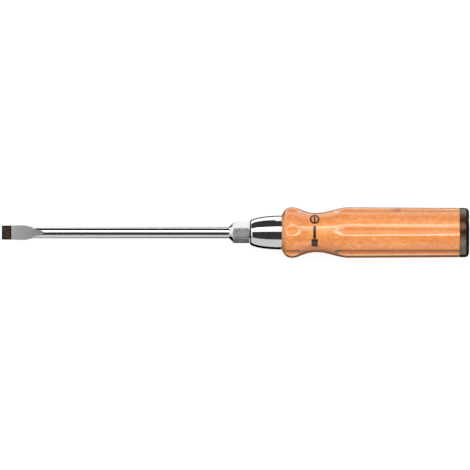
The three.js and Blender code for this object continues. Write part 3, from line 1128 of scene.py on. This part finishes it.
def make_sheet(name, height, material):
    """A level square, 6 m wide, that polished surfaces don't see."""
    mesh = bpy.data.meshes.new(name)
    size = 3
    corners = [(-size, -size), (size, -size), (size, size), (-size, size)]
    mesh.from_pydata([(x, y, height) for x, y in corners], [], [(0, 1, 2, 3)])
    mesh.materials.append(material)
    sheet = bpy.data.objects.new(name, mesh)
    bpy.context.scene.collection.objects.link(sheet)
    sheet.visible_glossy = False
    return sheet


def make_floor():
    """A white table that glows, so that it stays near white and its shadows stay pale."""
    shader = Shader("white_floor")
    shader.set(Base_Color=(0.22, 0.22, 0.22, 1), Roughness=0.9)
    shader.set(Emission_Color=WHITE, Emission_Strength=FLOOR_GLOW)
    floor = make_sheet("floor", 0, shader.material)
    floor.visible_diffuse = False


def make_bounce_floor():
    """Stands in for the floor where it lights the tool from below: less than white would."""
    name = "bounce_floor"
    sheet = make_sheet(name, -JUST_OFF_FLOOR, emission_material(name, BOUNCE_GLOW))
    sheet.visible_camera = False
    sheet.visible_shadow = False


def make_card(name, rows, strength):
    """A sheet through rows of points that only shows in reflections: nothing else sees it."""
    width = len(rows[0])
    points = [point for row in rows for point in row]
    faces = []
    for r in range(len(rows) - 1):
        for i in range(width - 1):
            start = r * width + i
            faces.append((start, start + 1, start + width + 1, start + width))
    mesh = bpy.data.meshes.new(name)
    mesh.from_pydata(points, [], faces)
    mesh.materials.append(emission_material(name, strength))
    card = bpy.data.objects.new(name, mesh)
    bpy.context.scene.collection.objects.link(card)
    card.visible_camera = False
    card.visible_diffuse = False
    card.visible_shadow = False
    card.visible_transmission = False


def make_reflector(name, degrees, x_range, strength, distance):
    """A curved card between two angles about the tool's axis, from straight up towards +Y."""
    steps = 12
    rows = []
    for i in range(steps + 1):
        angle = math.radians(degrees[0] + (degrees[1] - degrees[0]) * i / steps)
        y = distance * math.sin(angle)
        z = AXIS_HEIGHT + distance * math.cos(angle)
        rows.append([(x, y, z) for x in x_range])
    make_card(name, rows, strength)


def make_side_floor_card(name, blade_range, handle_range, strength):
    """A card just above the floor, between two distances beside the blade and the handle."""
    places = [
        (WHOLE_LENGTH[0], blade_range),
        (blade_low.x, blade_range),
        (BLADE_ZONE_END, handle_range),
        (WHOLE_LENGTH[1], handle_range),
    ]
    rows = [[(x, reach[side], JUST_OFF_FLOOR) for x, reach in places] for side in (0, 1)]
    make_card(name, rows, strength)


def make_end_card(name, heights, strength):
    """An upright card beyond the tip, for the surfaces that lean towards it."""
    x = WHOLE_LENGTH[0]
    rows = [[(x, y, z) for y in (-FAR, FAR)] for z in heights]
    make_card(name, rows, strength)


def make_softbox(name, degrees, distance, width, length, power):
    """An area light at an angle from straight up, turning towards +Y, aimed at the tool."""
    data = bpy.data.lights.new(name, "AREA")
    data.shape = "RECTANGLE"
    data.size = length
    data.size_y = width
    data.energy = power
    light = bpy.data.objects.new(name, data)
    angle = math.radians(degrees)
    light.location = TOOL_CENTRE + distance * Vector((0, math.sin(angle), math.cos(angle)))
    light.rotation_euler = (-angle, 0, 0)
    light.visible_glossy = False
    bpy.context.scene.collection.objects.link(light)


def make_world():
    """A soft white sky that fades towards the horizon. Polished surfaces don't see it."""
    world = bpy.data.worlds.new("studio")
    world.use_nodes = True
    tree = world.node_tree
    direction = tree.nodes.new("ShaderNodeTexCoord").outputs["Generated"]
    split = tree.nodes.new("ShaderNodeSeparateXYZ")
    fade = tree.nodes.new("ShaderNodeMapRange")
    fade.interpolation_type = "SMOOTHSTEP"
    for index, number in enumerate((HORIZON_AT, OVERHEAD_AT, HORIZON_LIGHT, OVERHEAD_LIGHT), 1):
        fade.inputs[index].default_value = number
    background = tree.nodes["Background"]
    tree.links.new(direction, split.inputs[0])
    tree.links.new(split.outputs["Z"], fade.inputs[0])
    tree.links.new(fade.outputs[0], background.inputs["Strength"])
    background.inputs["Color"].default_value = WHITE
    bpy.context.scene.world = world
    world.cycles_visibility.glossy = False


def make_camera():
    """Almost straight down, through a long lens, with the tool as wide as the picture."""
    distance = 12.0
    frame_width = LENGTH / TOOL_SHARE
    elevation = math.radians(85.5)
    data = bpy.data.cameras.new("camera")
    data.lens = data.sensor_width * distance / frame_width
    data.clip_end = 40
    camera = bpy.data.objects.new("camera", data)
    aim = TOOL_CENTRE + AIM_SHIFT
    back = Vector((0, -math.cos(elevation), math.sin(elevation)))
    camera.location = aim + back * distance
    camera.rotation_euler = (math.pi / 2 - elevation, 0, 0)
    bpy.context.scene.collection.objects.link(camera)
    bpy.context.scene.camera = camera


FAR = 0.8
NEARER = FAR - 0.01
WHOLE_LENGTH = (-0.9, 0.9)
BLADE_ZONE_END = ferrule_low.x - 0.02
HANDLE_ZONE = (BLADE_ZONE_END, WHOLE_LENGTH[1])
HORIZON_AT = -0.1  # heights of a direction, from 0 at the horizon to 1 straight up
OVERHEAD_AT = 0.7
HORIZON_LIGHT = 0.1
OVERHEAD_LIGHT = 0.97

make_floor()
make_bounce_floor()
make_softbox("key_softbox", degrees=14, distance=1.0, width=0.8, length=1.6, power=4.3)
make_reflector("wood_highlight_card", (20, 33), WHOLE_LENGTH, 7.5, NEARER)
make_reflector("highlight_card", (2, 36), WHOLE_LENGTH, 2.0, FAR)
make_reflector("rim_card", (82, 91), HANDLE_ZONE, 1.7, NEARER)
make_reflector("centre_dark_card", (-52, 1), WHOLE_LENGTH, 0.06, FAR)
make_reflector("upper_dark_card", (37, 84), WHOLE_LENGTH, 0.06, FAR)
make_reflector("fill_card", (-91, -53), WHOLE_LENGTH, 1.0, FAR)
make_reflector("wood_fill_card", (-82, -55), (ferrule_high.x, WHOLE_LENGTH[1]), 1.8, NEARER)
make_end_card("high_end_card", (0.35, FAR), 1.7)
make_end_card("low_end_card", (0, 0.1), 1.7)
make_side_floor_card("front_floor_card", (-1.2, -0.018), (-1.2, -0.046), 1.0)
make_side_floor_card("back_floor_card", (0.16, 0.012), (1.2, 0.033), 1.7)
make_world()
make_camera()
bpy.context.scene.view_settings.view_transform = "Standard"
